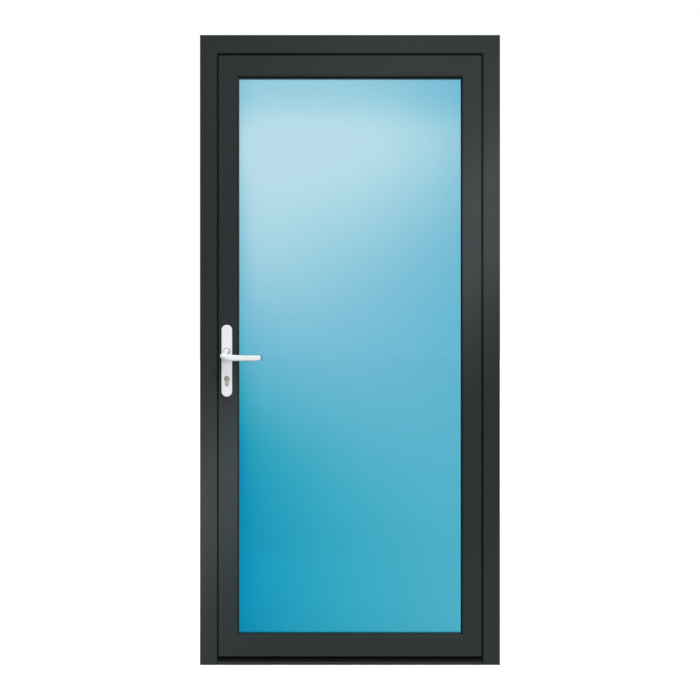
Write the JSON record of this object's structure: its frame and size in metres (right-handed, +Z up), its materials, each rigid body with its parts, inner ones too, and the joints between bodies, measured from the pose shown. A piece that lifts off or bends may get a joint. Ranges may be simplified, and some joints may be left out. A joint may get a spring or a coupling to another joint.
{
  "type": "glazed entrance door",
  "caption": "Glazed entrance door in its frame: thermally broken profiles, inward-opening leaf with insulating glass, lever handles on long plates, barrel hinges, low threshold.",
  "frame": {"origin": "on the floor, midway between the jambs and midway through the depth of the profiles", "axes": "+Z up, +Y from outside to inside through the door, +X to the right seen from outside"},
  "size_m": [1, 0.1888, 2.1],
  "materials": {
    "powder_coat": "anthracite powder coat with a fine texture on aluminium",
    "polyamide": "black glass-filled polyamide",
    "black_seal": "black EPDM",
    "mill_aluminium": "plain anodised aluminium",
    "tinted_glass": "blue tinted float glass",
    "clear_glass": "clear float glass",
    "zinc_steel": "galvanised steel",
    "hinge_coat": "anthracite powder coat, smooth",
    "white_lacquer": "white satin lacquer",
    "nickel": "satin nickel"
  },
  "bodies": {
    "frame": {"lock_jamb_outer_shell": "powder_coat", "lock_jamb_inner_shell": "powder_coat", "hinge_jamb_outer_shell": "powder_coat", "hinge_jamb_inner_shell": "powder_coat", "head_outer_shell": "powder_coat", "head_inner_shell": "powder_coat", "frame_thermal_bars": "polyamide", "frame_corner_cleats": "mill_aluminium", "frame_gasket": "black_seal", "threshold_outer_sill": "powder_coat", "threshold_core": "polyamide", "threshold_inner_sill": "mill_aluminium", "threshold_end_blocks": "polyamide", "main_strike_plate": "zinc_steel", "upper_strike_plate": "zinc_steel", "lower_strike_plate": "zinc_steel", "hinge_frame_plates": "hinge_coat", "hinge_pins": "zinc_steel", "frame_screws": "zinc_steel"},
    "leaf": {"lock_stile_outer_shell": "powder_coat", "lock_stile_inner_shell": "powder_coat", "hinge_stile_outer_shell": "powder_coat", "hinge_stile_inner_shell": "powder_coat", "top_rail_outer_shell": "powder_coat", "top_rail_inner_shell": "powder_coat", "bottom_rail_outer_shell": "powder_coat", "bottom_rail_inner_shell": "powder_coat", "leaf_thermal_bars": "polyamide", "leaf_corner_cleats": "mill_aluminium", "leaf_gasket": "black_seal", "bottom_seal": "black_seal", "glass_outer_pane": "tinted_glass", "glass_inner_pane": "clear_glass", "glass_spacer": "mill_aluminium", "glass_edge_seal": "black_seal", "setting_blocks": "polyamide", "outer_glazing_gasket": "black_seal", "inner_glazing_gasket": "black_seal", "lock_side_bead": "powder_coat", "hinge_side_bead": "powder_coat", "top_bead": "powder_coat", "bottom_bead": "powder_coat", "lock_faceplate": "zinc_steel", "lock_case": "zinc_steel", "bolt_cases": "zinc_steel", "outer_handle_plate": "white_lacquer", "inner_handle_plate": "white_lacquer", "handle_plate_screws": "zinc_steel", "cylinder_body": "nickel", "leaf_screws": "zinc_steel", "hinge_leaf_plates": "hinge_coat"},
    "handle_set": {"outer_lever": "white_lacquer", "inner_lever": "white_lacquer", "lever_spindle": "zinc_steel", "lock_follower": "zinc_steel"},
    "latch": {"latch_bolt": "zinc_steel"},
    "cylinder": {"cylinder_plugs": "nickel"},
    "bolts": {"deadbolt": "zinc_steel", "side_bolts": "zinc_steel"},
    "rods": {"drive_rods": "zinc_steel"}
  },
  "joints": [
    {"name": "leaf_swing", "type": "hinge", "parent": "frame", "child": "leaf", "pos_m": [0.4585, 0.048, 1.03], "axis": [0, 0, -1], "range_deg": [0, 105]},
    {"name": "lever_turn", "type": "hinge", "parent": "leaf", "child": "handle_set", "pos_m": [-0.4105, 0, 1.046], "axis": [0, 1, 0], "range_deg": [0, 35], "stiffness_Nm_per_rad": 2, "springref_deg": -22.92},
    {"name": "latch_slide", "type": "slide", "parent": "leaf", "child": "latch", "axis": [1, 0, 0], "range_m": [0, 0.0125]},
    {"name": "bolt_throw", "type": "slide", "parent": "leaf", "child": "bolts", "axis": [-1, 0, 0], "range_m": [0, 0.02]},
    {"name": "cylinder_turn", "type": "hinge", "parent": "leaf", "child": "cylinder", "pos_m": [-0.4105, 0, 0.954], "axis": [0, 1, 0], "range_deg": [0, 360]},
    {"name": "rod_slide", "type": "slide", "parent": "leaf", "child": "rods", "axis": [0, 0, 1], "range_m": [0, 0.012]}
  ],
  "couplings": [
    {"joint": "latch_slide", "follows": "lever_turn", "m_per_rad": 0.02046},
    {"joint": "cylinder_turn", "follows": "bolt_throw", "rad_per_m": 314.15},
    {"joint": "rod_slide", "follows": "bolt_throw", "ratio": 0.6}
  ]
}
